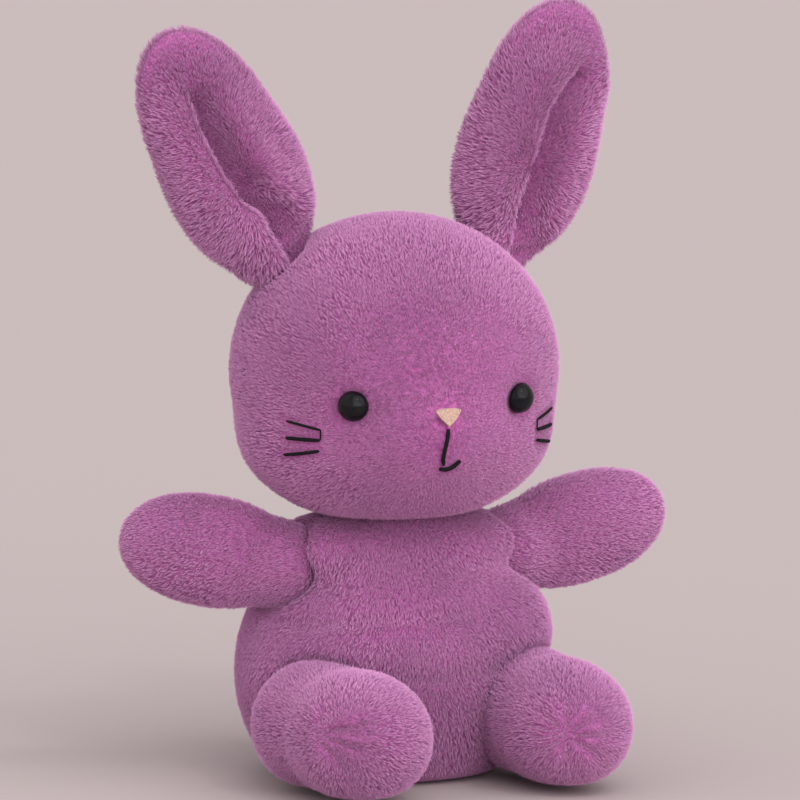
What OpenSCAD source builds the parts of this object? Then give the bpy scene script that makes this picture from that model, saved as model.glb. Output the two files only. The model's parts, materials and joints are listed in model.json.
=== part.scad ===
// Seated stuffed rabbit, millimetres. The rabbit faces -Y and sits on the XY plane.
// Left and right are the rabbit's own: its left side is +X.
// Each stuffed piece is a fabric skin in panels round a filling. Limbs, ears and head
// turn on rounded roots that sit in matching hollows.

/* [Body] */
// Width of the body across the hips
body_width = 83; // [78:1:86]
// Depth of the body from belly to back
body_depth = 70; // [67:1:74]
// Thickness of the plush with its pile
skin = 2.2; // [1.8:0.1:2.6]
// Height of the seat panel's seam above the floor
seat_seam = 6; // [4:0.5:8]
// Radius of the round tail
tail_radius = 12; // [9:0.5:14]

/* [Head] */
// Width of the head
head_width = 87; // [84:1:90]
// Depth of the head without the muzzle
head_depth = 77; // [74:1:80]
// Height of the head
head_height = 81; // [79:1:83]
// How far the head is turned to the rabbit's right, in degrees
head_turn = 2.5; // [-4:0.5:4]
// Width of the strip of plush over the top of the head
gusset_width = 24; // [18:1:30]
// Diameter of an eye
eye_diameter = 8; // [6:0.5:9]
// Width of the stitched nose
nose_width = 7.4; // [6:0.2:9]
// Length of a whisker stitch
whisker_length = 9; // [6:0.5:11]

/* [Ears] */
// Length of an ear above its root
ear_length = 66; // [56:1:70]
// Width of an ear at its widest
ear_width = 36; // [30:1:40]
// Thickness of a folded ear
ear_thickness = 14; // [10:0.5:15]
// Outward tilt of the left ear, in degrees
left_ear_tilt = 18; // [8:1:20]
// Outward tilt of the right ear, in degrees
right_ear_tilt = 28; // [18:1:32]

/* [Arms] */
// Length of an arm from its root
arm_length = 46; // [40:0.5:50]
// Height of an arm's paddle
arm_height = 30; // [26:1:31]
// Thickness of an arm from front to back
arm_thickness = 21; // [18:1:23]
// Upward tilt of the arms, in degrees
arm_lift = 13; // [8:0.5:14]

/* [Legs] */
// Length of a leg from its root to the toe
leg_length = 45; // [40:1:50]
// Width of a foot
foot_width = 35; // [32:1:37]
// Outward turn of the legs, in degrees
leg_splay = 1; // [0:1:6]

/* [Hidden] */
$fn = 48;

gap = 0.15;             // between a skin and its filling
arm_gap = 2;            // between an arm's root and its hollow
leg_gap = 3.4;          // between a leg's root and its hollow
thread = 0.3;           // radius of the sewing thread
big = 300;

body_centre = [0, 2, 27];
body_size = [body_width / 2, body_depth / 2, 40];
neck_centre = [0, 0, 65];
neck_radius = 14.5;
neck_gap = 0.5;
neck_seam = 68.6;
pouch_centre = [0, 10, 14];
pouch_size = [24, 16, 9];
tail_centre = [0, body_centre[1] + body_size[1] + tail_radius / 3, 17];

head_centre = [0, -1, 105.5];
head_size = [head_width / 2, head_depth / 2, head_height / 2];
cheek_centre = [0, -1, 88];
cheek_size = [head_width / 2 - 3, head_depth / 2 - 2.5, 22];
muzzle_centre = [0, -26, 93];
muzzle_size = [18, 15.5, 15];
gusset_bottom = 103;
nose_height = 97.5;
eye_at = [23, 100.3];
whisker_at = [33.5, 91.3];
whisker_lift = 1.5;      // measured towards the front

ear_root = [30.5, 4, 135.5];
ear_root_radius = 9.5;
ear_root_gap = 0.5;
ear_bed_tilt = 39;

arm_root = [31, -1, 56];
arm_root_radius = 12;

leg_root = [29.5, -20, 17.2];
leg_root_radius = 17;

plush = [0.66, 0.41, 0.60];
filling = [0.92, 0.92, 0.90];
cotton = [0.86, 0.84, 0.78];
black = [0.03, 0.03, 0.03];
cream = [0.92, 0.76, 0.64];
pellets = [0.80, 0.84, 0.86];

// An egg shape with these half sizes.
module egg(size, at = [0, 0, 0]) {
    translate(at) scale(size / 10) sphere(r = 10);
}

// A limb along +X: a round root at the origin and an egg shape round a middle further out.
module limb(root_radius, half_size, middle) {
    rotate([0, 90, 0]) {
        sphere(r = root_radius);
        egg([half_size[2], half_size[1], half_size[0]], [0, 0, middle]);
    }
}

// Unit vector that stands square on an egg at a point of its surface.
function egg_normal(point, size, at) =
    let (slope = [for (i = [0 : 2]) (point[i] - at[i]) / pow(size[i], 2)]) slope / norm(slope);

// Turns children's +Z to a direction of unit length.
module turn_to(direction) {
    rotate([0, acos(direction[2]), atan2(direction[1], direction[0])]) children();
}

// A round bar between two points.
module bar(a, b, r) {
    length = norm(b - a);
    translate(a) turn_to((b - a) / length) cylinder(h = length, r = r, $fn = 16);
}

// A thread through a list of points, a little thicker where it bends.
module thread_run(points, r) {
    for (i = [0 : len(points) - 2]) bar(points[i], points[i + 1], r);
    for (point = points) translate(point) sphere(r = r * 1.15, $fn = 16);
}

// A ring of thread round the X axis.
module ring(radius, x, r) {
    translate([x, 0, 0]) rotate([0, 90, 0]) rotate_extrude($fn = 64)
        translate([radius, 0]) circle(r = r, $fn = 16);
}

// A block that fills the space from low to high.
module block(low, high) {
    translate(low) cube(high - low);
}

function shrink(size, by) = [size[0] - by, size[1] - by, size[2] - by];

// ---- Body ----

module body_solid(inset) {
    intersection() {
        egg(shrink(body_size, inset), body_centre);
        block([-big, -big, inset], [big, big, big]);
    }
}

// Hollows for the neck and the roots of the limbs. pole is the leg hollows' own axis.
module body_hollows(extra, pole) {
    translate(neck_centre) sphere(r = neck_radius + neck_gap + extra);
    for (side = [-1, 1]) mirror([side < 0 ? 1 : 0, 0, 0]) {
        translate(arm_root) sphere(r = arm_root_radius + arm_gap + extra);
        translate(leg_root) turn_to(pole) sphere(r = leg_root_radius + leg_gap + extra);
    }
}

module body_shell() {
    difference() {
        body_solid(0);
        body_solid(skin);
        body_hollows(0, [0, 0, 1]);
    }
}

module body_panel(low, high) {
    color(plush) intersection() {
        body_shell();
        block(low, high);
    }
}

module body_front() {
    body_panel([-big, -big, seat_seam], [big, body_centre[1], big]);
}

module body_back_left() {
    body_panel([0, body_centre[1], seat_seam], [big, big, big]);
}

module body_back_right() {
    body_panel([-big, body_centre[1], seat_seam], [0, big, big]);
}

module body_seat() {
    body_panel([-big, -big, -1], [big, big, seat_seam]);
}

module body_stuffing() {
    color(filling) difference() {
        body_solid(skin + gap);
        body_hollows(gap, egg_normal(leg_root, body_size, body_centre));
        egg(shrink(pouch_size, -gap), pouch_centre);
    }
}

module bean_pouch() {
    color(cotton) difference() {
        egg(pouch_size, pouch_centre);
        egg(shrink(pouch_size, 1), pouch_centre);
    }
}

module bean_fill() {
    color(pellets) egg(shrink(pouch_size, 1 + gap), pouch_centre);
}

// A point on the back of the body, lifted clear of the plush.
function on_back(x, z, lift) = [
    x,
    body_centre[1] + lift + body_size[1] * sqrt(1 - pow(x / body_size[0], 2)
        - pow((z - body_centre[2]) / body_size[2], 2)),
    z
];

module closing_stitch() {
    color(plush)
        thread_run([for (i = [0 : 8]) on_back(i % 2 == 0 ? -1.4 : 1.4, 38 + 2.2 * i, 0.6)], thread);
}

// The tail is a ball, open and flat where it is sewn to the body.
module tail_ball(radius) {
    translate(tail_centre) rotate([-90, 0, 0]) intersection() {
        sphere(r = radius);
        translate([0, 0, gap - tail_radius / 3]) cylinder(h = big, r = big);
    }
}

module tail_skin() {
    color(plush) difference() {
        tail_ball(tail_radius);
        translate(tail_centre) rotate([-90, 0, 0]) sphere(r = tail_radius - skin);
    }
}

module tail_stuffing() {
    color(filling) tail_ball(tail_radius - skin - gap);
}

// ---- Neck ----

module neck_stuffing() {
    color(filling) translate(neck_centre) sphere(r = neck_radius);
}

module neck_stitches() {
    color(plush) translate([0, 0, neck_seam - 0.7]) rotate_extrude($fn = 64)
        translate([neck_radius + 0.4, 0]) circle(r = thread, $fn = 16);
}

// ---- Head ----

// The head is drawn facing forwards and turns as a whole on the neck.
module turn() {
    translate(neck_centre) rotate([0, 0, -head_turn]) translate(-neck_centre) children();
}

// The head is flat underneath, where it is sewn to the neck.
module head_solid(inset) {
    intersection() {
        union() {
            egg(shrink(head_size, inset), head_centre);
            egg(shrink(cheek_size, inset), cheek_centre);
        }
        block([-big, -big, neck_seam + inset], [big, big, big]);
    }
    egg(shrink(muzzle_size, inset), muzzle_centre);
}

// Distance of a point from the head's centre, as a share of the way to its surface.
function head_share(x, z) = 1 - pow(x / head_size[0], 2) - pow((z - head_centre[2]) / head_size[2], 2);
function muzzle_share(x, z) =
    1 - pow(x / muzzle_size[0], 2) - pow((z - muzzle_centre[2]) / muzzle_size[2], 2);
function cheek_share(x, z) =
    1 - pow(x / cheek_size[0], 2) - pow((z - cheek_centre[2]) / cheek_size[2], 2);
function head_front(x, z) = head_centre[1] - head_size[1] * sqrt(max(0, head_share(x, z)));
function cheek_front(x, z) = cheek_centre[1] - cheek_size[1] * sqrt(max(0, cheek_share(x, z)));
function muzzle_front(x, z) = muzzle_centre[1] - muzzle_size[1] * sqrt(max(0, muzzle_share(x, z)));

// A point on the front of the face, lifted clear of the plush.
function on_face(x, z, lift) = [
    x,
    min(head_front(x, z), cheek_front(x, z), muzzle_share(x, z) > 0 ? muzzle_front(x, z) : 0) - lift,
    z
];

eye_point = on_face(eye_at[0], eye_at[1], 0);
eye_depth = 1.2;
stem_radius = 1.3;

// Places children with +Z along the eye's outward direction.
module at_eye(side) {
    mirror([side < 0 ? 1 : 0, 0, 0]) translate(eye_point)
        turn_to(egg_normal(eye_point, head_size, head_centre)) children();
}

module eye_hollow(side) {
    at_eye(side) {
        translate([0, 0, -eye_depth]) cylinder(h = 10, r = eye_diameter / 2 + gap);
        translate([0, 0, -skin - 2]) cylinder(h = 5, r = stem_radius + gap);
    }
}

module ear_place(side, tilt) {
    mirror([side < 0 ? 1 : 0, 0, 0]) translate(ear_root) rotate([0, tilt, 0]) children();
}

module head_shell() {
    difference() {
        head_solid(0);
        head_solid(skin);
        head_hollows(0);
        for (side = [-1, 1]) eye_hollow(side);
    }
}

module head_hollows(extra) {
    translate(neck_centre) sphere(r = neck_radius + neck_gap + extra);
    for (side = [-1, 1]) ear_place(side, ear_bed_tilt)
        sphere(r = ear_root_radius + ear_root_gap + extra);
}

module gusset_region() {
    block([-gusset_width / 2, -big, gusset_bottom], [gusset_width / 2, big, big]);
}

module head_side(side) {
    color(plush) turn() mirror([side < 0 ? 1 : 0, 0, 0]) difference() {
        intersection() {
            head_shell();
            block([0, -big, 0], [big, big, big]);
        }
        gusset_region();
    }
}

module head_left() {
    head_side(1);
}

module head_right() {
    head_side(-1);
}

module head_gusset() {
    color(plush) turn() intersection() {
        head_shell();
        gusset_region();
    }
}

module head_stuffing() {
    color(filling) turn() difference() {
        head_solid(skin + gap);
        head_hollows(gap);
        for (side = [-1, 1]) at_eye(side)
            translate([0, 0, -skin - 3]) cylinder(h = 9, r = eye_diameter / 2 + 1);
    }
}

module eye(side) {
    color(black) turn() at_eye(side) {
        intersection() {
            translate([0, 0, -eye_depth + gap]) egg([eye_diameter / 2, eye_diameter / 2, 3.6]);
            translate([0, 0, -eye_depth + gap]) cylinder(h = 10, r = eye_diameter / 2);
        }
        translate([0, 0, -skin - 2.4]) cylinder(h = skin + 2.4, r = stem_radius);
    }
}

module eye_left() {
    eye(1);
}

module eye_right() {
    eye(-1);
}

module eye_washer(side) {
    color([0.9, 0.9, 0.88]) turn() at_eye(side) translate([0, 0, -skin - 1.9]) difference() {
        cylinder(h = 1.2, r = eye_diameter / 2 + 0.6);
        translate([0, 0, -1]) cylinder(h = 4, r = stem_radius + 0.05);
    }
}

module eye_washer_left() {
    eye_washer(1);
}

module eye_washer_right() {
    eye_washer(-1);
}

// A rounded triangle, point down, seen from the front.
module nose_outline() {
    half = nose_width / 2;
    offset(r = 1, $fn = 24)
        polygon([[-half + 1, 1.7], [half - 1, 1.7], [0.5, -1.8], [-0.5, -1.8]]);
}

module nose() {
    color(cream) turn() intersection() {
        translate([0, -big / 2, nose_height]) rotate([-90, 0, 0]) mirror([0, 1, 0])
            linear_extrude(height = big / 2 - 20) nose_outline();
        difference() {
            egg(shrink(muzzle_size, -1.1), muzzle_centre);
            egg(shrink(muzzle_size, -0.1), muzzle_centre);
        }
    }
}

module mouth() {
    points = [[0, 94.1], [-0.5, 91.5], [-0.9, 89], [-0.6, 86.6], [0.9, 85], [2.6, 84.9], [3.8, 86]];
    color(black) turn() thread_run([for (p = points) on_face(p[0], p[1], 0.5)], 0.4);
}

// Three stitches that spread outwards, joined by the thread that passes under the plush.
module whiskers(side) {
    reach = whisker_length * 0.36;
    inner = [for (i = [-1 : 1]) on_face(whisker_at[0] - reach, whisker_at[1] + 2.7 * i, whisker_lift)];
    outer = [for (i = [-1 : 1]) on_face(whisker_at[0] + reach, whisker_at[1] + 4.4 * i, whisker_lift)];
    link = [for (i = [0 : 2]) inner[i] + 0.08 * (outer[i] - inner[i])];
    color(black) turn() mirror([side < 0 ? 1 : 0, 0, 0]) {
        for (i = [0 : 2]) bar(inner[i], outer[i], 0.35);
        for (i = [0 : 1]) bar(link[i], link[i + 1], 0.15);
    }
}

module whiskers_left() {
    whiskers(1);
}

module whiskers_right() {
    whiskers(-1);
}

// ---- Ears ----

module ear_solid(inset) {
    half = ear_length / 2 + 1;
    sphere(r = ear_root_radius - inset);
    egg(shrink([ear_width / 2, ear_thickness / 2, half], inset), [0, 0, ear_length - half]);
}

module ear_panel(side, tilt, face) {
    color(plush) turn() ear_place(side, tilt) intersection() {
        difference() {
            ear_solid(0);
            ear_solid(1.8);
        }
        block([-big, face < 0 ? -big : 0, -big], [big, face < 0 ? 0 : big, big]);
    }
}

module ear_wadding(side, tilt) {
    color(filling) turn() ear_place(side, tilt) ear_solid(1.8 + gap);
}

module ear_left_front() {
    ear_panel(1, left_ear_tilt, -1);
}

module ear_left_back() {
    ear_panel(1, left_ear_tilt, 1);
}

module ear_left_wadding() {
    ear_wadding(1, left_ear_tilt);
}

module ear_right_front() {
    ear_panel(-1, right_ear_tilt, -1);
}

module ear_right_back() {
    ear_panel(-1, right_ear_tilt, 1);
}

module ear_right_wadding() {
    ear_wadding(-1, right_ear_tilt);
}

// ---- Arms ----

module arm_place(side) {
    mirror([side < 0 ? 1 : 0, 0, 0]) translate(arm_root) rotate([0, -arm_lift, 0]) children();
}

module arm_solid(inset) {
    half = [(arm_length + 4.5) / 2, arm_thickness / 2, arm_height / 2];
    limb(arm_root_radius - inset, shrink(half, inset), arm_length - half[0]);
}

module arm_panel(side, face) {
    color(plush) arm_place(side) intersection() {
        difference() {
            arm_solid(0);
            arm_solid(skin);
        }
        block([-big, face < 0 ? -big : 0, -big], [big, face < 0 ? 0 : big, big]);
    }
}

module arm_stuffing(side) {
    color(filling) arm_place(side) arm_solid(skin + gap);
}

module arm_stitches(side) {
    middle = arm_root_radius + arm_gap / 2;
    color(plush) arm_place(side) ring(sqrt(middle * middle - 36), -6, thread);
}

module arm_left_front() {
    arm_panel(1, -1);
}

module arm_left_back() {
    arm_panel(1, 1);
}

module arm_left_stuffing() {
    arm_stuffing(1);
}

module arm_left_stitches() {
    arm_stitches(1);
}

module arm_right_front() {
    arm_panel(-1, -1);
}

module arm_right_back() {
    arm_panel(-1, 1);
}

module arm_right_stuffing() {
    arm_stuffing(-1);
}

module arm_right_stitches() {
    arm_stitches(-1);
}

// ---- Legs ----

// Places children with +X along the leg, from the root to the toe.
module leg_place(side) {
    mirror([side < 0 ? 1 : 0, 0, 0]) translate(leg_root) rotate([0, 0, leg_splay - 90]) children();
}

module leg_solid(inset) {
    half = [(leg_length + 7) / 2, foot_width / 2, leg_root[2]];
    limb(leg_root_radius - inset, shrink(half, inset), leg_length - half[0]);
}

module leg_panel(side, face) {
    color(plush) leg_place(side) intersection() {
        difference() {
            leg_solid(0);
            leg_solid(skin);
        }
        block([-big, face < 0 ? -big : 0, -big], [big, face < 0 ? 0 : big, big]);
    }
}

module leg_stuffing(side) {
    color(filling) leg_place(side) leg_solid(skin + gap);
}

module leg_stitches(side) {
    middle = leg_root_radius + leg_gap / 2;
    color(plush) leg_place(side) ring(sqrt(middle * middle - 64), -8, thread);
}

module leg_left_inner() {
    leg_panel(1, -1);
}

module leg_left_outer() {
    leg_panel(1, 1);
}

module leg_left_stuffing() {
    leg_stuffing(1);
}

module leg_left_stitches() {
    leg_stitches(1);
}

module leg_right_inner() {
    leg_panel(-1, -1);
}

module leg_right_outer() {
    leg_panel(-1, 1);
}

module leg_right_stuffing() {
    leg_stuffing(-1);
}

module leg_right_stitches() {
    leg_stitches(-1);
}

body_front();
body_back_left();
body_back_right();
body_seat();
body_stuffing();
bean_pouch();
bean_fill();
closing_stitch();
tail_skin();
tail_stuffing();
neck_stuffing();
neck_stitches();
head_left();
head_right();
head_gusset();
head_stuffing();
eye_left();
eye_right();
eye_washer_left();
eye_washer_right();
nose();
mouth();
whiskers_left();
whiskers_right();
ear_left_front();
ear_left_back();
ear_left_wadding();
ear_right_front();
ear_right_back();
ear_right_wadding();
arm_left_front();
arm_left_back();
arm_left_stuffing();
arm_left_stitches();
arm_right_front();
arm_right_back();
arm_right_stuffing();
arm_right_stitches();
leg_left_inner();
leg_left_outer();
leg_left_stuffing();
leg_left_stitches();
leg_right_inner();
leg_right_outer();
leg_right_stuffing();
leg_right_stitches();
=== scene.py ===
"""Looks of the seated stuffed rabbit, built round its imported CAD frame.

Shapes are worked out in millimetres as distance fields, turned into meshes, and scaled to metres.
The rabbit faces -Y. Left and right are its own, so its left side is +X.
"""

import json
import math

import bpy
import numpy as np
import openvdb
from mathutils import Matrix, Vector, kdtree


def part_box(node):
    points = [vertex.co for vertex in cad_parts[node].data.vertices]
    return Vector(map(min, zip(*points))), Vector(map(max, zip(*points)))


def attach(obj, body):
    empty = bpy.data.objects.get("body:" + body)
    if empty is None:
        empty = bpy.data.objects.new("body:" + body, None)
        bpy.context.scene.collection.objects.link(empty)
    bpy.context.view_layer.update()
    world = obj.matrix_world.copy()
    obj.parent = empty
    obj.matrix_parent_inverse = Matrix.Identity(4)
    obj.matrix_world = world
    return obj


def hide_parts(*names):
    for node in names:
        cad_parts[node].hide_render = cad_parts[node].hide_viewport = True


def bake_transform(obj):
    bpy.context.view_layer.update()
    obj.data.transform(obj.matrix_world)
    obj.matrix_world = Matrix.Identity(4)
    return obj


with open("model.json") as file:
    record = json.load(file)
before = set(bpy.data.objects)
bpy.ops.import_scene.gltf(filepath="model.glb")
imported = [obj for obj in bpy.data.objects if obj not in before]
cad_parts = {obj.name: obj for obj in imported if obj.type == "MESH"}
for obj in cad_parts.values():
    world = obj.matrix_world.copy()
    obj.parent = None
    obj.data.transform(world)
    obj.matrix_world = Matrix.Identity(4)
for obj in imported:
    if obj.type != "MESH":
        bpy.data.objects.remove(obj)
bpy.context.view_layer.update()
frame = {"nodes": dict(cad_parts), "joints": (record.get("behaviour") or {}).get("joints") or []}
MM = 0.001

# ---- Sizes, mm ----

PILE = 1.7            # how far the bare skin lies inside the plush's outer surface
PITCH = 0.6           # spacing of the skins' mesh
TUFT = 1.9            # spacing of the tufts in the skins
TUFT_RISE = 0.16      # how far a tuft stands out of its skin
STRANDS = 8.5         # strands of pile on a square millimetre
STRAND = 2.2          # length of a strand
HEAD_TURN = 2.5       # degrees to the rabbit's right
EAR_TILT = {"left": 18.0, "right": 28.0}      # degrees outwards
ARM_LIFT = 13.0       # degrees
LEG_SPLAY = 1.0       # degrees
SIDES = {"left": 1, "right": -1}
WHITE = (1.0, 1.0, 1.0)


def joint(name):
    """Where a joint's axis passes, mm."""
    row = next(j for j in frame["joints"] if j["name"] == name)
    return np.array(row["pos_m"]) / MM


def span(*nodes):
    """Lowest and highest corner of some CAD nodes together, mm."""
    corners = np.array([[list(c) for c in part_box(n)] for n in nodes]) / MM
    return corners[:, 0].min(0), corners[:, 1].max(0)


# ---- Places ----

NECK = joint("neck_nod")


def turned(axis, degrees):
    return np.array(Matrix.Rotation(math.radians(degrees), 4, axis))


def moved(offset):
    return np.array(Matrix.Translation(offset))


def mirrored(side):
    return np.diag([float(side), 1, 1, 1])


LOOK = moved(NECK) @ turned("Z", -HEAD_TURN) @ moved(-NECK)
AHEAD = np.linalg.inv(LOOK)


def carry(matrix, points):
    return points @ matrix[:3, :3].T + matrix[:3, 3]


def split(points):
    return points[..., 0], points[..., 1], points[..., 2]


# ---- Distance fields. A point p is three arrays, x, y and z, in mm ----

def egg(p, size, at=(0, 0, 0), power=2.0):
    """Distance, near enough, from an egg shape. A power over 2 squares it up."""
    share = [np.abs(p[i] - at[i]) / size[i] for i in range(3)]
    reach = sum(c**power for c in share) ** (1 / power)
    slope = np.sqrt(sum((c ** (power - 1) / half) ** 2 for c, half in zip(share, size)))
    return (reach - 1) * reach ** (power - 1) / np.maximum(slope, 1e-4)


def ball(p, radius, at=(0, 0, 0)):
    return np.sqrt(sum((p[i] - at[i]) ** 2 for i in range(3))) - radius


def join(a, b, soft):
    """Both shapes together, with a rounded seam."""
    h = np.clip(0.5 + 0.5 * (b - a) / soft, 0, 1)
    return b * (1 - h) + a * h - soft * h * (1 - h)


def cut(a, b, soft):
    """Shape a less shape b, with a rounded edge."""
    return -join(-a, b, soft)


def overlap(a, b, soft):
    """Where two shapes overlap, with a rounded edge."""
    return -join(-a, -b, soft)


def swell(offset, width):
    """1 at no offset, fading to 0 over about two widths."""
    return np.exp(-((offset / width) ** 2))


def ramp(value, low, high):
    """0 below low, 1 above high, and smooth between."""
    t = np.clip((value - low) / (high - low), 0, 1)
    return t * t * (3 - 2 * t)


# ---- Torso ----

TORSO_LOW, TORSO_HIGH = span("body_front", "body_back_left", "body_back_right", "body_seat")
TORSO_HALF = (TORSO_HIGH - TORSO_LOW) / 2
TORSO_AT = np.array([0, TORSO_HIGH[1] - TORSO_HALF[1], 27.0])
TORSO_SIZE = np.array([TORSO_HALF[0], TORSO_HALF[1], 40.0])
NECK_BALL = 13.6
ARM_ROOT = joint("arm_left_raise")
LEG_ROOT = joint("leg_left_lift")
ARM_BED, LEG_BED = 11.6, 17.0     # the hollows that the limbs' roots sit in
ROOT_GAP = 1.4                    # between a limb's root and its hollow
FLOOR_GAP = 0.9                   # under the bare skin, for the pile it sits on
# The torso's soft folds, each as its x places, its heights there and its depth.
BELLY_FOLDS = [([-42, -30, -14, 4, 16], [43, 41, 43.5, 44, 42], 1.5),
               ([-40, -24, -6, 14, 34], [33, 31.5, 28.5, 29, 34], 1.1)]
FOLD_WIDTH = 2.4
SHOULDER_AT, SHOULDER_SIZE = np.array([0, -1, 59.0]), np.array([37, 18, 10.0])
SIDE_AT, SIDE_SIZE = np.array([24.5, -4, 38.0]), np.array([14, 20, 13.0])


def torso(p):
    x, y, z = p
    shape = egg(p, TORSO_SIZE - PILE, TORSO_AT)
    shape = join(shape, ball(p, NECK_BALL, NECK), 5.0)
    shape = join(shape, egg(p, SHOULDER_SIZE, SHOULDER_AT), 6.0)
    shape = join(shape, egg(p, SIDE_SIZE, SIDE_AT), 7.0)
    for places, heights, deep in BELLY_FOLDS:
        off = z - np.interp(x, places, heights)
        ends = ramp(x, places[0], places[0] + 8) * (1 - ramp(x, places[-1] - 10, places[-1]))
        shape = shape + deep * swell(off, FOLD_WIDTH) * ends * (1 - ramp(y, -12, 0))
    mirror = (np.abs(x), y, z)
    shape = cut(shape, ball(mirror, ARM_BED, ARM_ROOT), 2.5)
    shape = cut(shape, ball(mirror, LEG_BED, LEG_ROOT), 3.0)
    return cut(shape, z - FLOOR_GAP, 2.5)


# ---- Head, facing ahead ----

HEAD_AT, HEAD_SIZE = np.array([0, -1, 105.5]), np.array([43.5, 38.5, 40.5])
CHEEK_AT, CHEEK_SIZE = np.array([0, -1, 88.0]), np.array([40.5, 36.0, 22.0])
MUZZLE_AT, MUZZLE_SIZE = np.array([0, -26, 93.0]), np.array([18, 15.5, 15.0])
CHIN = 67.8                       # height of the flat under the head
NECK_CLEARANCE = 1.2
EAR_ROOT = np.array([30.5, 4, 135.5])
EAR_BED, EAR_BALL = 8.6, 7.8      # the hollow and the ear's root in it
EYE_AT = (23.0, 100.3)            # x and height
EYE_SOCKET, EYE_RISE = 4.4, 2.6   # radius, and how far its middle is out of the skin
WHORL = np.array([-0.6, -35.0, 87.5])         # the face's pile is combed away from here


def bare_head(p):
    shape = join(egg(p, HEAD_SIZE - PILE, HEAD_AT), egg(p, CHEEK_SIZE - PILE, CHEEK_AT), 7.0)
    return join(shape, egg(p, MUZZLE_SIZE - PILE, MUZZLE_AT), 6.0)


def on_surface(field, x, z, start=-70.0, stop=0.0):
    """The y at which a line along +Y from the front first meets a shape."""
    for _ in range(40):
        middle = (start + stop) / 2
        if field((np.float64(x), np.float64(middle), np.float64(z))) > 0:
            start = middle
        else:
            stop = middle
    return (start + stop) / 2


def normal_at(field, point):
    step = np.eye(3) * 0.05
    slope = np.array([field(point + s) - field(point - s) for s in step])
    return slope / np.linalg.norm(slope)


EYES = {side: np.array([s * EYE_AT[0], on_surface(bare_head, s * EYE_AT[0], EYE_AT[1]), EYE_AT[1]])
        for side, s in SIDES.items()}


def head(p):
    x, y, z = p
    shape = bare_head(p)
    shape = cut(shape, z - CHIN, 4.0)
    shape = cut(shape, ball(p, NECK_BALL + NECK_CLEARANCE, NECK), 2.0)
    mirror = (np.abs(x), y, z)
    shape = cut(shape, ball(mirror, EAR_BED, EAR_ROOT), 2.5)
    eye = EYES["left"] + normal_at(bare_head, EYES["left"]) * EYE_RISE
    return cut(shape, ball(mirror, EYE_SOCKET, eye), 3.5)


# ---- Ears, upright on their roots, +Z to the tip ----

EAR_AT, EAR_SIZE = np.array([0, 0, 32.0]), np.array([18, 7, 34.0])
EAR_FOOT_AT, EAR_FOOT_SIZE = np.array([0, 0, 20.0]), np.array([18.0, 7, 23.0])
EAR_FOLD_DEPTH, EAR_FOLD_WIDTH = 10.5, 11.0
# The line where each ear's inner side folds under its near lobe, as heights and x places there.
EAR_FOLDS = {"left": ([2, 12, 25, 36, 43, 52], [-1.2, -1.2, -0.8, -0.6, 1.4, 5.6]),
             "right": ([2, 8, 12, 17, 26, 39, 53], [-1.4, -1.2, -0.9, -3.6, -5.0, -4.9, -2.2])}


def ear(side):
    heights, places = EAR_FOLDS[side]

    def field(p):
        x, y, z = p
        shape = egg(p, EAR_SIZE - PILE, EAR_AT, 2.1)
        shape = join(shape, egg(p, EAR_FOOT_SIZE - PILE, EAR_FOOT_AT, 2.1), 6.0)
        shape = join(shape, ball(p, EAR_BALL), 7.0)
        across = x - np.interp(z, heights, places)
        lobes = 2.0 * swell(across + 6.5, 4.5) + 1.2 * swell(across - 9.5, 4.0)
        shape = shape - lobes * ramp(-y, -1, 4) * ramp(z, 2, 10) * (1 - ramp(z, 44, 58))
        front = EAR_AT[1] - EAR_SIZE[1] * np.sqrt(
            np.clip(1 - (x / EAR_SIZE[0]) ** 2 - ((z - EAR_AT[2]) / EAR_SIZE[2]) ** 2, 0, 1))
        depth = y - front
        floor = EAR_FOLD_DEPTH * ramp(z, -4, 8) * (1 - ramp(z, 42, 54))
        wall = -(across + 0.1 * depth)
        slope = (depth - floor * (1 - (across + 1.5) / EAR_FOLD_WIDTH)) * 0.85
        return cut(shape, overlap(wall, slope, 1.2), 1.6)

    return field


# ---- Arms, level on their roots, +X to the paw ----

ARM_LENGTH = 46.0
ARM_SIZE = np.array([(ARM_LENGTH + 4.5) / 2, 10.5, 15.0])
ARM_AT = np.array([ARM_LENGTH - ARM_SIZE[0], 0, 0])


def arm(p):
    shape = egg(p, ARM_SIZE - PILE, ARM_AT, 2.15)
    return join(shape, ball(p, ARM_BED - ROOT_GAP), 4.0)


# ---- Legs, +X to the toe ----

LEG_LENGTH = 45.0
LEG_SIZE = np.array([(LEG_LENGTH + 7) / 2, 17.5, LEG_ROOT[2]])
LEG_AT = np.array([LEG_LENGTH - LEG_SIZE[0], 0, 0])
# Where each foot's seams are gathered, how far the foot is shifted inwards, and how much it is widened.
GATHERS = {"left": np.array([43.0, -7.5, 0.0]), "right": np.array([36.0, 12.0, 3.0])}
FOOT_SHIFT = {"left": np.array([0, 0, 0]), "right": np.array([0, -3.5, 0])}
FOOT_SPREAD = {"left": np.array([0, 0, 0]), "right": np.array([0, 1.2, 0])}
PUCKERS = 9


def leg(side):
    gather = GATHERS[side]

    def field(p):
        x, y, z = p
        shape = egg(p, LEG_SIZE - PILE + FOOT_SPREAD[side], LEG_AT + FOOT_SHIFT[side], 2.1)
        shape = join(shape, ball(p, LEG_BED - ROOT_GAP), 5.0)
        shape = cut(shape, z + LEG_ROOT[2] - FLOOR_GAP, 2.5)
        away = ball(p, 0, gather)
        turn = np.arctan2(z - gather[2], y - gather[1])
        creases = 0.5 + 0.5 * np.cos(PUCKERS * turn + 1.3 * np.sin(2 * turn))
        return shape + swell(away, 4.0) * 2.6 + creases * swell(away, 11.0) * 1.9

    return field


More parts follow.
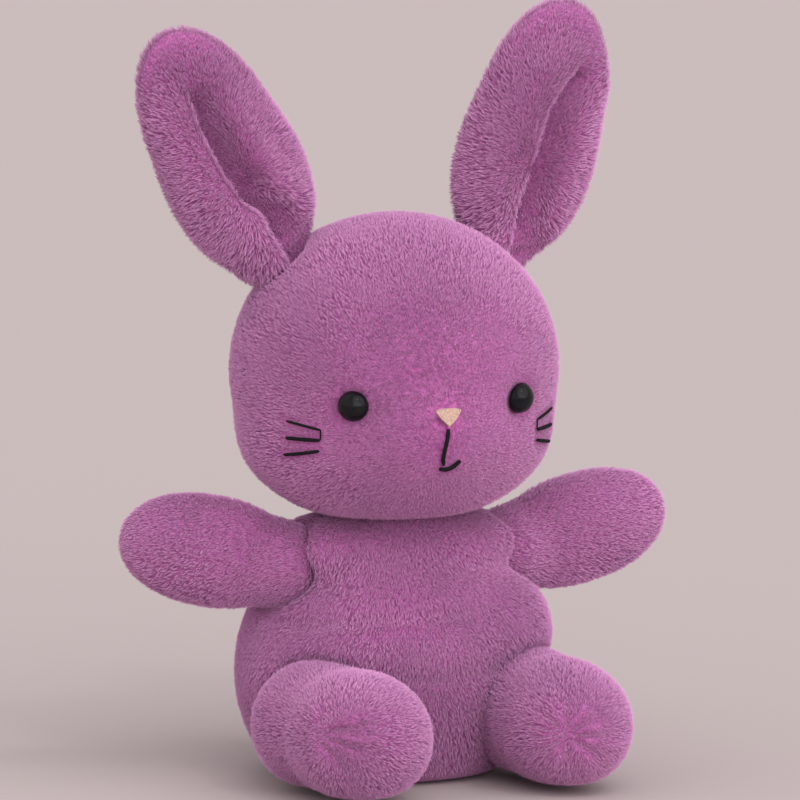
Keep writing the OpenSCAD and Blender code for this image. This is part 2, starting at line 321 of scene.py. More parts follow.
TAIL_LOW, TAIL_HIGH = span("tail_skin")
TAIL_RADIUS = (TAIL_HIGH[0] - TAIL_LOW[0]) / 2
TAIL_AT = np.array([0, TAIL_HIGH[1] - TAIL_RADIUS, (TAIL_LOW[2] + TAIL_HIGH[2]) / 2])


def tail(p):
    return ball(p, TAIL_RADIUS - PILE, TAIL_AT)


# ---- Meshes from distance fields ----

def skin_points(field, low, high):
    """The surface of a field inside a box: points in mm, and quads that face outwards."""
    low, high = np.array(low, np.float32), np.array(high, np.float32)
    counts = np.ceil((high - low) / PITCH).astype(int) + 1
    axes = [low[i] + PITCH * np.arange(counts[i], dtype=np.float32) for i in range(3)]
    values = field(np.meshgrid(*axes, indexing="ij", sparse=True))
    values = np.broadcast_to(values, counts).astype(np.float32)
    grid = openvdb.FloatGrid(background=3.0)
    grid.copyFromArray(np.ascontiguousarray(values))
    grid.gridClass = openvdb.GridClass.LEVEL_SET
    points, _, quads = grid.convertToPolygons(isovalue=0.0, adaptivity=0.0)
    points = points.astype(float) * PITCH + low
    if outward_volume(points, quads) < 0:
        quads = quads[:, ::-1]
    return points, quads


def outward_volume(points, quads):
    a, b, c, d = (points[quads[:, i]] for i in range(4))
    return np.einsum("ij,ij->i", (a + b + c + d) / 4, np.cross(c - a, d - b)).sum()


def normals_of(points, quads):
    a, b, c, d = (points[quads[:, i]] for i in range(4))
    face = np.cross(c - a, d - b)
    total = np.stack([sum(np.bincount(quads[:, i], face[:, k], len(points)) for i in range(4))
                      for k in range(3)], 1)
    return total / np.maximum(np.linalg.norm(total, axis=1, keepdims=True), 1e-9)


def tree_of(points):
    tree = kdtree.KDTree(len(points))
    for i, point in enumerate(points):
        tree.insert(point, i)
    tree.balance()
    return tree


def along_skin(directions, normals):
    """Directions laid flat on the skin, of unit length."""
    flat = directions - normals * np.einsum("ij,ij->i", directions, normals)[:, None]
    return flat / np.maximum(np.linalg.norm(flat, axis=1, keepdims=True), 1e-6)


def tufted(points, normals, comb, seed):
    """The skin with its pile's tufts: low rises that lean the way the pile is combed."""
    draw = np.random.default_rng(seed)
    count = int(len(points) * (PITCH / TUFT) ** 2)
    middles = points[draw.choice(len(points), count, replace=False)]
    height = draw.uniform(0.5, 1.0, count)
    tree = tree_of(middles)
    rise = np.empty(len(points))
    for i, point in enumerate(points):
        _, nearest, away = tree.find(point)
        rise[i] = height[nearest] * max(0.0, 1 - (away / (0.8 * TUFT)) ** 2)
    rise *= TUFT_RISE
    return points + normals * rise[:, None] + comb * (0.8 * rise)[:, None]


def mesh_object(name, points, faces):
    mesh = bpy.data.meshes.new(name)
    mesh.from_pydata(points, [], faces)
    mesh.shade_smooth()
    made = bpy.data.objects.new(name, mesh)
    bpy.context.scene.collection.objects.link(made)
    return made


def store(mesh, name, kind, values):
    attribute = mesh.attributes.new(name, kind, "POINT")
    field = "vector" if kind == "FLOAT_VECTOR" else "value"
    attribute.data.foreach_set(field, np.ascontiguousarray(values).ravel())


# ---- Materials ----

def material(name):
    made = bpy.data.materials.new(name)
    made.use_nodes = True
    tree = made.node_tree
    return made, tree, tree.nodes["Principled BSDF"]


def link(tree, source, target):
    tree.links.new(source, target)


def ramp_node(tree, factor, stops):
    node = tree.nodes.new("ShaderNodeValToRGB")
    elements = node.color_ramp.elements
    while len(elements) < len(stops):
        elements.new(0.5)
    for element, (position, colour) in zip(elements, stops):
        element.position = position
        element.color = (*colour, 1)
    link(tree, factor, node.inputs["Fac"])
    return node.outputs["Color"]


def noise(tree, scale, detail, vector):
    node = tree.nodes.new("ShaderNodeTexNoise")
    node.inputs["Scale"].default_value = scale
    node.inputs["Detail"].default_value = detail
    link(tree, vector, node.inputs["Vector"])
    return node.outputs["Fac"]


def attribute_node(tree, name):
    node = tree.nodes.new("ShaderNodeAttribute")
    node.attribute_name = name
    return node


def mixed(tree, factor, a, b, kind):
    """Mixes two colours. Each may be a colour or an output, and the factor a number or an output."""
    node = tree.nodes.new("ShaderNodeMix")
    node.data_type = "RGBA"
    node.blend_type = kind
    for socket, value in ((node.inputs[0], factor), (node.inputs[6], a), (node.inputs[7], b)):
        if isinstance(value, bpy.types.NodeSocket):
            link(tree, value, socket)
        else:
            socket.default_value = value if isinstance(value, (int, float)) else (*value, 1)
    return node.outputs[2]


# The pile's colours from its root to its tip: darker towards the root as painted shade deep in the pile,
# and lighter at the tip as painted sheen.
PLUSH_PAINTED_SHADE = (0.280, 0.078, 0.222)
PLUSH_ROOT = (0.500, 0.175, 0.410)
PLUSH_MIDDLE = (0.740, 0.310, 0.620)
PLUSH_TIP_SHEEN = (0.920, 0.500, 0.800)


def add_bump(tree, shader, height, strength, distance):
    bump = tree.nodes.new("ShaderNodeBump")
    bump.inputs["Strength"].default_value = strength
    bump.inputs["Distance"].default_value = distance
    link(tree, height, bump.inputs["Height"])
    link(tree, bump.outputs["Normal"], shader.inputs["Normal"])


def skin_material():
    made, tree, shader = material("plush_skin")
    rest = attribute_node(tree, "rest").outputs["Vector"]
    # Painted shade: the bare skin is dark, like the shade deep in the pile, and its darker speckles are
    # painted shade in the gaps between tufts. The same speckles also make its bumps.
    tuft_gaps = noise(tree, 900.0, 3.0, rest)
    patches = noise(tree, 45.0, 2.0, rest)
    base = ramp_node(tree, tuft_gaps, [(0.36, PLUSH_PAINTED_SHADE), (0.62, PLUSH_ROOT)])
    colour = mixed(tree, patches, base, PLUSH_MIDDLE, "SOFT_LIGHT")
    link(tree, colour, shader.inputs["Base Color"])
    shader.inputs["Roughness"].default_value = 0.9
    shader.inputs["Sheen Weight"].default_value = 0.4
    shader.inputs["Sheen Roughness"].default_value = 0.5
    add_bump(tree, shader, tuft_gaps, 0.6, 0.6 * MM)
    return made


def pile_material():
    made, tree, shader = material("plush_pile")
    strand = tree.nodes.new("ShaderNodeHairInfo")
    # Painted shade and sheen: each strand is darkest at its root and lightest at its tip.
    along = ramp_node(tree, strand.outputs["Intercept"],
                      [(0.0, PLUSH_PAINTED_SHADE), (0.35, PLUSH_ROOT), (0.7, PLUSH_MIDDLE), (1.0, PLUSH_TIP_SHEEN)])
    tint = ramp_node(tree, strand.outputs["Random"], [(0.0, (0.86, 0.82, 0.87)), (1.0, WHITE)])
    colour = mixed(tree, 1.0, along, tint, "MULTIPLY")
    rest = attribute_node(tree, "rest").outputs["Vector"]
    patches = ramp_node(tree, noise(tree, 42.0, 3.0, rest), [(0.35, (0.84, 0.82, 0.85)), (0.62, WHITE)])
    colour = mixed(tree, 1.0, colour, patches, "MULTIPLY")
    # Painted shade: the pile's colour is multiplied by the shade stored on its skin.
    colour = mixed(tree, 1.0, colour, attribute_node(tree, "tone").outputs["Fac"], "MULTIPLY")
    link(tree, colour, shader.inputs["Base Color"])
    shader.inputs["Roughness"].default_value = 0.55
    shader.inputs["Specular IOR Level"].default_value = 0.3
    shader.inputs["Sheen Weight"].default_value = 0.25
    return made


def gloss_black():
    made, tree, shader = material("eye_gloss")
    where = tree.nodes.new("ShaderNodeTexCoord").outputs["Object"]
    haze = ramp_node(tree, noise(tree, 400.0, 2.0, where),
                     [(0.3, (0.004, 0.004, 0.005)), (0.8, (0.012, 0.011, 0.013))])
    link(tree, haze, shader.inputs["Base Color"])
    shader.inputs["Roughness"].default_value = 0.09
    shader.inputs["Specular IOR Level"].default_value = 0.16
    return made


def thread_material(name, dark, light):
    made, tree, shader = material(name)
    where = tree.nodes.new("ShaderNodeTexCoord").outputs["Object"]
    fibres = noise(tree, 2500.0, 2.0, where)
    link(tree, ramp_node(tree, fibres, [(0.3, dark), (0.7, light)]), shader.inputs["Base Color"])
    shader.inputs["Roughness"].default_value = 0.65
    shader.inputs["Specular IOR Level"].default_value = 0.15
    add_bump(tree, shader, fibres, 0.4, 0.1 * MM)
    return made


SKIN = skin_material()
PLUSH = pile_material()
EYE = gloss_black()
BLACK_THREAD = thread_material("black_thread", (0.003, 0.003, 0.004), (0.012, 0.011, 0.013))
CREAM_THREAD = thread_material("cream_thread", (0.44, 0.27, 0.21), (0.66, 0.47, 0.38))

# ---- Pile: strands that grow from a skin and follow it as it bends ----


class Nodes:
    """Short names for building a geometry node tree."""

    def __init__(self, name):
        self.tree = bpy.data.node_groups.new(name, "GeometryNodeTree")
        self.tree.interface.new_socket("Geometry", in_out="INPUT", socket_type="NodeSocketGeometry")
        self.tree.interface.new_socket("Geometry", in_out="OUTPUT", socket_type="NodeSocketGeometry")

    def add(self, kind, inputs=None, **settings):
        node = self.tree.nodes.new(kind)
        for key, value in settings.items():
            setattr(node, key, value)
        for key, value in (inputs or {}).items():
            self.put(node, key, value)
        return node

    def put(self, node, key, value):
        socket = node.inputs[key]
        if isinstance(value, bpy.types.NodeSocket):
            self.tree.links.new(value, socket)
        elif isinstance(value, bpy.types.Node):
            self.tree.links.new(value.outputs[0], socket)
        else:
            socket.default_value = value

    def named(self, name, kind):
        return self.add("GeometryNodeInputNamedAttribute", {"Name": name}, data_type=kind).outputs[0]

    def keep(self, geometry, name, value, kind):
        return self.add("GeometryNodeStoreNamedAttribute",
                        {"Geometry": geometry, "Name": name, "Value": value}, data_type=kind).outputs[0]

    def sum(self, a, b):
        return self.vector("ADD", a, b)

    def vector(self, operation, a, b=None):
        inputs = {0: a} if b is None else {0: a, 1: b}
        node = self.add("ShaderNodeVectorMath", inputs, operation=operation)
        return node.outputs["Value"] if operation == "DOT_PRODUCT" else node.outputs[0]

    def scaled(self, vector, factor):
        node = self.add("ShaderNodeVectorMath", {0: vector, "Scale": factor}, operation="SCALE")
        return node.outputs[0]

    def math(self, operation, a, b=0.0):
        return self.add("ShaderNodeMath", {0: a, 1: b}, operation=operation).outputs[0]

    def flat(self, vector, normal):
        """A vector less its part along the normal."""
        along = self.scaled(normal, self.vector("DOT_PRODUCT", vector, normal))
        return self.vector("SUBTRACT", vector, along)

    def random(self, low, high, seed, kind):
        """A number or vector of each strand's own."""
        first = 0 if kind == "FLOAT_VECTOR" else 2
        node = self.add("FunctionNodeRandomValue", {first: low, first + 1: high, "Seed": seed,
                                                    "ID": self.named("strand", "INT")}, data_type=kind)
        return node.outputs[0 if kind == "FLOAT_VECTOR" else 1]


def pile_tree(skin, seed):
    """Strands of plush on a skin, combed and gathered in small clumps."""
    n = Nodes(skin.name + "_pile")
    source = n.add("GeometryNodeObjectInfo", {"Object": skin}, transform_space="RELATIVE")
    mesh = source.outputs["Geometry"]
    place = n.add("GeometryNodeInputPosition").outputs[0]
    target = n.add("GeometryNodeSampleIndex", {"Geometry": mesh, "Index": n.named("comb_to", "INT")},
                   data_type="FLOAT_VECTOR", domain="POINT")
    n.put(target, "Value", place)
    mesh = n.keep(mesh, "comb_now", n.vector("SUBTRACT", target.outputs[0], place), "FLOAT_VECTOR")
    density = n.math("MULTIPLY", n.named("cover", "FLOAT"), STRANDS / MM**2)
    spread = n.add("GeometryNodeDistributePointsOnFaces", {"Mesh": mesh, "Density": density, "Seed": seed})
    points = n.keep(spread.outputs["Points"], "root", place, "FLOAT_VECTOR")
    points = n.keep(points, "up", spread.outputs["Normal"], "FLOAT_VECTOR")
    points = n.keep(points, "strand", n.add("GeometryNodeInputIndex").outputs[0], "INT")
    line = n.add("GeometryNodeCurvePrimitiveLine", {"End": (0, 0, MM)})
    line = n.add("GeometryNodeResampleCurve", {"Curve": line, "Count": 6})
    strands = n.add("GeometryNodeInstanceOnPoints", {"Points": points, "Instance": line})
    strands = n.add("GeometryNodeRealizeInstances", {"Geometry": strands}).outputs[0]

    up, rest = n.named("up", "FLOAT_VECTOR"), n.named("rest", "FLOAT_VECTOR")
    comb = n.vector("NORMALIZE", n.flat(n.named("comb_now", "FLOAT_VECTOR"), up))
    was = n.add("FunctionNodeAxesToRotation", {0: n.named("rest_up", "FLOAT_VECTOR"),
                                               1: n.named("rest_comb", "FLOAT_VECTOR")},
                primary_axis="Z", secondary_axis="X")
    now = n.add("FunctionNodeAxesToRotation", {0: up, 1: comb}, primary_axis="Z", secondary_axis="X")
    back = n.add("FunctionNodeInvertRotation", {0: was})

    def to_clump(spacing):
        """Towards a clump's middle, found on the skin at rest and then turned with it."""
        cells = n.add("ShaderNodeTexVoronoi", {"Vector": rest, "Scale": 1 / (spacing * MM)},
                      feature="F1", voronoi_dimensions="3D")
        pull = n.vector("SUBTRACT", cells.outputs["Position"], rest)
        pull = n.add("FunctionNodeRotateVector", {"Vector": pull, "Rotation": back}).outputs[0]
        pull = n.add("FunctionNodeRotateVector", {"Vector": pull, "Rotation": now}).outputs[0]
        return n.flat(pull, up)

    share = n.add("GeometryNodeSplineParameter").outputs["Factor"]
    square = n.math("MULTIPLY", share, share)
    stray = n.random((-1, -1, -1), (1, 1, 1), seed + 5, "FLOAT_VECTOR")
    length = n.random(0.72, 1.1, seed + 9, "FLOAT")
    length = n.math("MULTIPLY", n.math("MULTIPLY", length, n.named("pile", "FLOAT")), STRAND * MM)
    lift = n.named("lift", "FLOAT")
    bend = n.math("SUBTRACT", 1.0, lift)
    rise = n.math("SUBTRACT", share, n.math("MULTIPLY", square, n.math("MULTIPLY", bend, 0.45)))
    rise = n.math("MULTIPLY", rise, n.math("ADD", n.math("MULTIPLY", lift, 0.7), 0.3))
    sweep = n.math("ADD", n.math("MULTIPLY", share, 0.35), n.math("MULTIPLY", square, 0.65))
    sweep = n.math("MULTIPLY", bend, sweep)
    path = n.sum(n.scaled(up, rise), n.scaled(comb, sweep))
    path = n.sum(path, n.scaled(stray, n.math("MULTIPLY", square, 0.13)))
    path = n.scaled(path, length)
    ruffled = n.add("ShaderNodeTexNoise", {"Vector": rest, "Scale": 1 / (14 * MM), "Detail": 1.0})
    ruffled = n.add("ShaderNodeMapRange", {0: ruffled.outputs["Fac"], 1: 0.42, 2: 0.62,
                                           3: 0.2, 4: 0.75}).outputs[0]
    ruffled = n.math("MULTIPLY", ruffled, n.named("pile", "FLOAT"))
    path = n.sum(path, n.scaled(to_clump(0.9), n.math("MULTIPLY", share, ruffled)))
    gathered = n.math("MULTIPLY", square, n.math("MULTIPLY", ruffled, 0.35))
    path = n.sum(path, n.scaled(to_clump(2.6), gathered))
    path = n.sum(n.named("root", "FLOAT_VECTOR"), path)
    placed = n.add("GeometryNodeSetPosition", {"Geometry": strands, "Position": path})
    thick = n.math("SUBTRACT", 0.055 * MM, n.math("MULTIPLY", square, 0.035 * MM))
    placed = n.add("GeometryNodeSetCurveRadius", {"Curve": placed, "Radius": thick})
    placed = n.add("GeometryNodeSetMaterial", {"Geometry": placed, "Material": PLUSH})
    n.add("NodeGroupOutput", {0: placed})
    return n.tree


def grow_pile(skin, seed):
    curves = bpy.data.hair_curves.new(skin.name + "_pile")
    made = bpy.data.objects.new(skin.name + "_pile", curves)
    bpy.context.scene.collection.objects.link(made)
    curves.materials.append(PLUSH)
    modifier = made.modifiers.new("pile", "NODES")
    modifier.node_group = pile_tree(skin, seed)
    made.parent = skin


COMB_REACH = 4.0      # how far along the skin a strand's comb direction is measured


def plain(points, normals):
    """The same full value all over."""
    return np.ones(len(points))


def plush(name, field, box, place, comb, seed, cover=plain, pile=plain, tone=plain, lift=0.5):
    """One stuffed piece: a closed skin with tufts, and the pile that grows from it.

    place carries the field's own frame to the row frame. comb, cover, pile and the painted shade that
    darkens the pile's colour are functions of points and normals in the field's own frame. lift is how
    upright the pile stands."""
    points, quads = skin_points(field, *box)
    if np.linalg.det(place[:3, :3]) < 0:
        quads = quads[:, ::-1]
        normals = -normals_of(points, quads)
    else:
        normals = normals_of(points, quads)
    directions = along_skin(comb(points, normals), normals)
    tree = tree_of(points)
    reach = points + directions * COMB_REACH
    targets = np.array([tree.find(point)[1] for point in reach], np.int32)
    world = carry(place, tufted(points, normals, directions, seed))
    turn = place[:3, :3]
    skin = mesh_object(name, world * MM, quads)
    store(skin.data, "rest", "FLOAT_VECTOR", world * MM)
    store(skin.data, "rest_up", "FLOAT_VECTOR", normals @ turn.T)
    store(skin.data, "rest_comb", "FLOAT_VECTOR", directions @ turn.T)
    store(skin.data, "comb_to", "INT", targets)
    store(skin.data, "cover", "FLOAT", cover(points, normals))
    store(skin.data, "pile", "FLOAT", pile(points, normals))
    # The painted shade of the pile's colour, 1 where none is painted.
    store(skin.data, "tone", "FLOAT", tone(points, normals))
    store(skin.data, "lift", "FLOAT", np.full(len(points), lift))
    skin.data.materials.append(SKIN)
    grow_pile(skin, seed)
    return skin


# ---- Plush pieces ----

BURIED = -2.5         # pile grows where a skin is less deep than this in the next one


def outside(field, place_in):
    """A cover that is 1 where a point isn't buried in another shape, and 0 where it is."""
    return lambda points, normals: ramp(field(split(carry(place_in, points))), BURIED, BURIED + 1.0)


def sat_on(height):
    """How long the pile is at a height over the floor: short where it is sat on."""
    return 0.35 + 0.65 * ramp(height, 0.5, 6.0)


def torso_comb(points, normals):
    x, y, z = split(points)
    return np.stack([0.012 * x, 0.075 * np.sign(y - TORSO_AT[1]), -np.ones_like(z)], 1)


def torso_cover(points, normals):
    return 1 - ramp(points[:, 2], 68.0, 70.0)


def torso_pile(points, normals):
    return sat_on(points[:, 2])


def torso_painted_shade(points, normals):
    """Painted shade: darker low on the belly."""
    x, y, z = split(points)
    return 1 - 0.24 * swell(x - 4, 26) * swell(z - 22, 15)


torso_skin = plush("body_plush", torso, ((-44, -36, -2), (44, 42, 82)), np.eye(4), torso_comb, 11,
                   cover=torso_cover, pile=torso_pile, tone=torso_painted_shade)
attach(torso_skin, "body")
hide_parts("body_front", "body_back_left", "body_back_right", "body_seat", "body_stuffing",
            "bean_pouch", "bean_fill", "closing_stitch", "neck_stuffing", "neck_stitches")


# ---- Head, and the places of its features ----

def head_comb(points, normals):
    return points - WHORL


def on_head(x, z, lift):
    """A point over the bare head, seen from the front at x and z."""
    point = np.array([x, on_surface(bare_head, x, z), z])
    return point + normal_at(bare_head, point) * lift


THREAD_LIFT = 1.1                 # how far a thread's middle is out of the bare skin
WHISKER_AT, WHISKER_REACH = (32.0, 91.3), 3.2
WHISKER_GAP, WHISKER_SPREAD = 3.55, 0.85
MOUTH_RUNS = [[(0.0, 94.6), (-0.3, 92.0), (-0.8, 89.4), (-1.0, 87.2), (-0.6, 85.6)],
              [(-1.6, 84.7), (0.2, 84.4), (2.0, 85.0), (3.7, 86.6)]]


def along(run, count, lift):
    """Points spaced evenly in x and z over the bare head, along a short run."""
    places = np.array(run)
    steps = np.linspace(0, len(run) - 1, count)
    x, z = (np.interp(steps, range(len(run)), places[:, i]) for i in range(2))
    return np.array([on_head(a, b, lift) for a, b in zip(x, z)])


def whisker_run(side, row):
    """The x and z places of one whisker, from the nose's side outwards. Rows are -1, 0 and 1."""
    return [(SIDES[side] * (WHISKER_AT[0] + k * WHISKER_REACH),
             WHISKER_AT[1] + (WHISKER_GAP + WHISKER_SPREAD * k) * row) for k in (-1, 0, 1)]


NOSE_AT = on_head(0, 97.5, 0)
STITCHES = np.vstack([along(run, 7, 0.0) for run in MOUTH_RUNS]
                     + [along(whisker_run(side, row), 7, 0.0) for side in SIDES for row in (-1, 0, 1)])


def features_near(points):
    """How near points are to the eyes, nose and stitches, from 0 to 1."""
    near = np.zeros(len(points))
    spots = [(NOSE_AT, 3.4, 5.0)]
    spots += [(eye, 4.2, 7.0) for eye in EYES.values()]
    spots += [(stitch, 1.0, 2.4) for stitch in STITCHES]
    for middle, full, none in spots:
        near = np.maximum(near, 1 - ramp(np.linalg.norm(points - middle, axis=1), full, none))
    return near


def head_pile(points, normals):
    """Shorter in the middle of the face, and shortest round its features."""
    x, y, z = split(points)
    outer = ramp(np.hypot(x / 34, (z - 98) / 30), 0.5, 1.2)
    return (0.55 + 0.4 * outer) * (1 - 0.62 * features_near(points))


def head_cover(points, normals):
    hidden = np.linalg.norm(points - NECK, axis=1) < NECK_BALL + 2
    mirror = np.stack([np.abs(points[:, 0]), points[:, 1], points[:, 2]], 1)
    hidden |= np.linalg.norm(mirror - EAR_ROOT, axis=1) < EAR_BED
    return 1.0 - hidden


def head_painted_shade(points, normals):
    """Painted shade: darker over the brow."""
    x, y, z = split(points)
    return 1 - 0.2 * swell(x + 3, 15) * swell(z - 117, 13) * ramp(-y, 0, 20)


head_skin = plush("head_plush", head, ((-46, -46, 62), (46, 42, 148)), LOOK, head_comb, 23,
                  cover=head_cover, pile=head_pile, tone=head_painted_shade)
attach(head_skin, "head")
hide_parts("head_left", "head_right", "head_gusset", "head_stuffing",
            "eye_washer_left", "eye_washer_right")


def ear_comb(points, normals):
    x, y, z = split(points)
    return np.stack([x, 0 * y, 0.45 * (z - 26)], 1) + [0, 0, 2.5]


def ear_pile(points, normals):
    """Short where the skin faces the ear's own fold, and full elsewhere."""
    x, y, z = split(points)
    sunk = ramp(y, -4.5, -1.5) * ramp(-normals[:, 1], 0.1, 0.5) * (1 - ramp(np.abs(x), 9, 14))
    return 1.3 - 0.8 * sunk


def ear_place(side):
    root = EAR_ROOT * [SIDES[side], 1, 1]
    return LOOK @ moved(root) @ turned("Y", EAR_TILT[side] * SIDES[side])


for number, side in enumerate(SIDES):
    place = ear_place(side)
    skin = plush(f"ear_{side}_plush", ear(side), ((-21, -11, -10), (21, 10, 68)), place, ear_comb,
                 31 + number, cover=outside(head, AHEAD @ place), pile=ear_pile)
    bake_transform(skin)
    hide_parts(f"ear_{side}_front", f"ear_{side}_back", f"ear_{side}_wadding")


def arm_comb(points, normals):
    x, y, z = split(points)
    return np.stack([np.ones_like(x), 0 * y, -0.35 - 0.02 * z], 1)


def arm_place(side):
    root = ARM_ROOT * [SIDES[side], 1, 1]
    return moved(root) @ mirrored(SIDES[side]) @ turned("Y", -ARM_LIFT)


for number, side in enumerate(SIDES):
    place = arm_place(side)
    skin = plush(f"arm_{side}_plush", arm, ((-14, -14, -17), (48, 14, 17)), place, arm_comb, 41 + number,
                 cover=outside(torso, place))
    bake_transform(skin)
    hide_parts(f"arm_{side}_front", f"arm_{side}_back", f"arm_{side}_stuffing",
                f"arm_{side}_stitches")


def leg_comb(side):
    """Away from the foot's gathers."""
    return lambda points, normals: points - GATHERS[side]


def leg_pile(side):
    """Shorter where the leg lies on the floor, and at the foot's gathers."""
    def length(points, normals):
        away = np.linalg.norm(points - GATHERS[side], axis=1)
        return sat_on(points[:, 2] + LEG_ROOT[2]) * (0.6 + 0.4 * ramp(away, 5, 13))

    return length


def leg_place(side):
    root = LEG_ROOT * [SIDES[side], 1, 1]
    return moved(root) @ mirrored(SIDES[side]) @ turned("Z", LEG_SPLAY - 90)


for number, side in enumerate(SIDES):
    place = leg_place(side)
    skin = plush(f"leg_{side}_plush", leg(side), ((-20, -20, -19), (48, 20, 19)), place, leg_comb(side),
                 51 + number, cover=outside(torso, place), pile=leg_pile(side))
    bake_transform(skin)
    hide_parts(f"leg_{side}_inner", f"leg_{side}_outer", f"leg_{side}_stuffing",
                f"leg_{side}_stitches")


def tail_comb(points, normals):
    return points - TAIL_AT + [0, 0, -6.0]


tail_skin = plush("tail_plush", tail, (TAIL_AT - 13, TAIL_AT + 13), np.eye(4), tail_comb, 61,
                  cover=outside(torso, np.eye(4)), lift=0.75)
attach(tail_skin, "body")
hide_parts("tail_skin", "tail_stuffing")

# ---- Eyes, nose, mouth and whiskers ----

for node in ("eye_left", "eye_right"):
    bead = frame["nodes"][node].data
    bead.materials.clear()
    bead.materials.append(EYE)
    bead.shade_smooth()

THREAD_SIDES = 8


def round_path(path):
    """Two unit directions square to a path at each of its points."""
    heading = np.gradient(path, axis=0)
    heading /= np.linalg.norm(heading, axis=1, keepdims=True)
    across = np.cross(heading, [0.0, 1.0, 0.0])
    across /= np.linalg.norm(across, axis=1, keepdims=True)
    return across, np.cross(across, heading)


def tube(path, radius):
    """Points and faces of a round thread with domed ends."""
    count = len(path)
    ends = np.sqrt(np.clip(1 - np.abs(np.linspace(-1, 1, count)) ** 8, 0.04, 1))[:, None, None]
    across, up = round_path(path)
    turn = 2 * np.pi * np.arange(THREAD_SIDES) / THREAD_SIDES
    spokes = np.cos(turn)[None, :, None] * across[:, None] + np.sin(turn)[None, :, None] * up[:, None]
    rings = path[:, None] + radius * ends * spokes
    faces = [range(THREAD_SIDES), range(count * THREAD_SIDES - 1, (count - 1) * THREAD_SIDES - 1, -1)]
    for ring in range(0, (count - 1) * THREAD_SIDES, THREAD_SIDES):
        for side in range(THREAD_SIDES):
            after = (side + 1) % THREAD_SIDES
            next_ring = ring + THREAD_SIDES
            faces.append((next_ring + side, next_ring + after, ring + after, ring + side))
    return rings.reshape(-1, 3), faces


PLIES, PLY_PITCH, PLY_STEP = 3, 1.5, 0.16


def twisted(path, radius):
    """The plies of a twisted thread along a path."""
    steps = np.concatenate([[0], np.cumsum(np.linalg.norm(np.diff(path, axis=0), axis=1))])
    fine = np.linspace(0, steps[-1], int(steps[-1] / PLY_STEP) + 2)
    middle = np.stack([np.interp(fine, steps, path[:, i]) for i in range(3)], 1)
    across, up = round_path(middle)
    for ply in range(PLIES):
        turn = (2 * np.pi * (fine / PLY_PITCH + ply / PLIES))[:, None]
        yield tube(middle + radius * 0.5 * (np.cos(turn) * across + np.sin(turn) * up), radius * 0.56)


def sewn(name, node, parts, thread):
    """One piece made of threads on the face."""
    points, faces = [], []
    for part_points, part_faces in parts:
        first = sum(len(p) for p in points)
        points.append(part_points)
        faces += [[i + first for i in face] for face in part_faces]
    made = mesh_object(name, carry(LOOK, np.vstack(points)) * MM, faces)
    made.data.materials.append(thread)
    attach(made, "head")
    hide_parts(node)


NOSE_HALF = 3.1
MOUTH_RADIUS = 0.55
WHISKER_RADII = {1: 0.36, 0: 0.5, -1: 0.46}       # by row


def nose_threads():
    """Satin stitches side by side, in a rounded triangle with its point down."""
    for x in np.linspace(-NOSE_HALF, NOSE_HALF, 15):
        top = 99.6 - 0.5 * (x / NOSE_HALF) ** 4
        run = [(x, top), (0.66 * x, 97.4), (0.16 * x, 94.9 + 0.3 * abs(x))]
        yield tube(along(run, 12, THREAD_LIFT + 0.8), 0.3)


def mouth_threads():
    for run in MOUTH_RUNS:
        yield from twisted(along(run, 14, THREAD_LIFT), MOUTH_RADIUS)


def whisker_threads(side):
    """Three stitches, and a thin thread that joins the upper two at their inner ends."""
    for row, radius in WHISKER_RADII.items():
        yield from twisted(along(whisker_run(side, row), 14, THREAD_LIFT), radius)
    inner = [whisker_run(side, row)[0] for row in (0, 1)]
    yield from twisted(along(inner, 8, THREAD_LIFT - 0.2), 0.22)


sewn("nose_threads", "nose", nose_threads(), CREAM_THREAD)
sewn("mouth_thread", "mouth", mouth_threads(), BLACK_THREAD)
for side in SIDES:
    sewn(f"whiskers_{side}_thread", f"whiskers_{side}", whisker_threads(side), BLACK_THREAD)

# ---- Stage ----

BACKDROP = (0.520, 0.444, 0.444)
FLOOR_HALF = 20.0     # metres


def stage():
    made, tree, shader = material("floor_paper")
    where = tree.nodes.new("ShaderNodeTexCoord").outputs["Object"]
    shade = tuple(c * 0.995 for c in BACKDROP)
    grain = ramp_node(tree, noise(tree, 30.0, 3.0, where), [(0.0, shade), (1.0, BACKDROP)])
    link(tree, grain, shader.inputs["Base Color"])
    shader.inputs["Roughness"].default_value = 0.95
    shader.inputs["Specular IOR Level"].default_value = 0.0
    corners = [(-1, -1), (1, -1), (1, 1), (-1, 1)]
    floor = mesh_object("floor", [(x * FLOOR_HALF, y * FLOOR_HALF, 0) for x, y in corners], [(0, 1, 2, 3)])
    floor.data.materials.append(made)


stage()

# ---- Camera and light ----

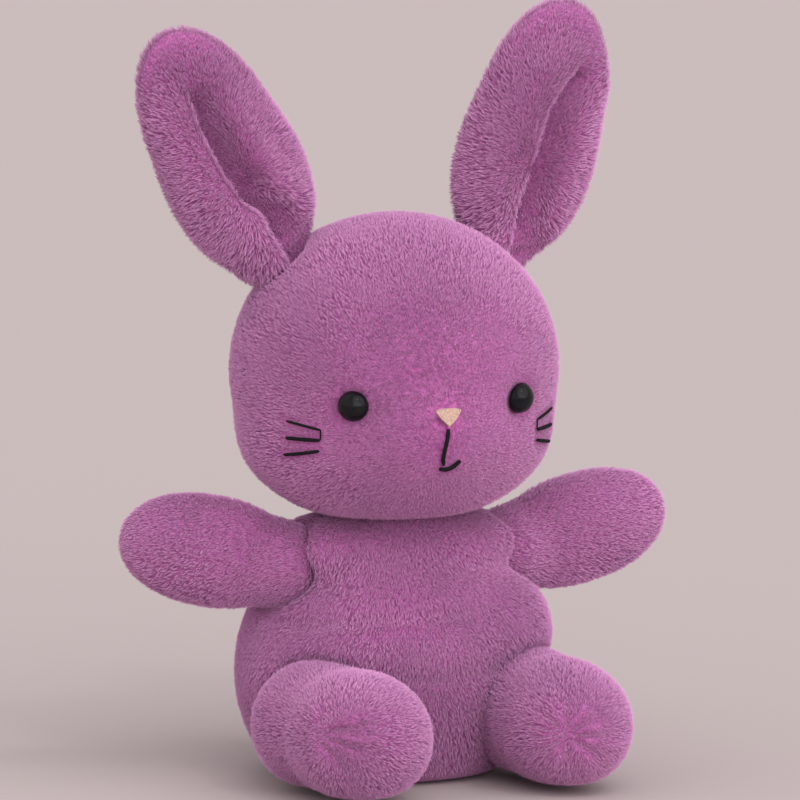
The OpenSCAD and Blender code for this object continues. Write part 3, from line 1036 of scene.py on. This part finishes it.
AZIMUTH, ELEVATION = math.radians(-22.5), math.radians(8.0)
CAMERA_DISTANCE, FIELD_WIDTH = 3.0, 0.2064      # metres; the width is at the rabbit
SENSOR_WIDTH = 36
LOOK_AT = (0.0018, 0.0957)      # to the right of the origin and up, in the view's own directions


def towards(azimuth, elevation):
    """The direction at an azimuth, from the rabbit's front to its left, and an elevation."""
    return Vector((math.sin(azimuth) * math.cos(elevation), -math.cos(azimuth) * math.cos(elevation),
                   math.sin(elevation)))


def add_camera():
    back = towards(AZIMUTH, ELEVATION)
    right = Vector((math.cos(AZIMUTH), math.sin(AZIMUTH), 0))
    up = back.cross(right)
    camera = bpy.data.objects.new("camera", bpy.data.cameras.new("camera"))
    camera.data.sensor_width = SENSOR_WIDTH
    camera.data.lens = SENSOR_WIDTH * CAMERA_DISTANCE / FIELD_WIDTH
    camera.location = right * LOOK_AT[0] + up * LOOK_AT[1] + back * CAMERA_DISTANCE
    camera.rotation_mode = "QUATERNION"
    camera.rotation_quaternion = (-back).to_track_quat("-Z", "Y")
    bpy.context.scene.collection.objects.link(camera)
    bpy.context.scene.camera = camera


def add_sun(name, azimuth, elevation, strength, angle):
    """A sun. The angles are in degrees, and the last is how wide the sun is."""
    light = bpy.data.lights.new(name, "SUN")
    light.energy = strength
    light.angle = math.radians(angle)
    made = bpy.data.objects.new(name, light)
    made.rotation_mode = "QUATERNION"
    source = towards(math.radians(azimuth), math.radians(elevation))
    made.rotation_quaternion = source.to_track_quat("Z", "Y")
    bpy.context.scene.collection.objects.link(made)


def add_world(strength):
    world = bpy.data.worlds.new("world")
    world.use_nodes = True
    background = world.node_tree.nodes["Background"]
    background.inputs["Color"].default_value = (1.0, 0.98, 0.98, 1)
    background.inputs["Strength"].default_value = strength
    bpy.context.scene.world = world


add_camera()
add_sun("key", 20, 34, 1.7, 80)
add_sun("fill", -55, 40, 0.6, 100)
add_sun("low", 5, 2, 0.75, 60)
add_sun("spark", 14, 48, 0.16, 5)
add_world(0.66)
bpy.context.scene.view_settings.view_transform = "Standard"
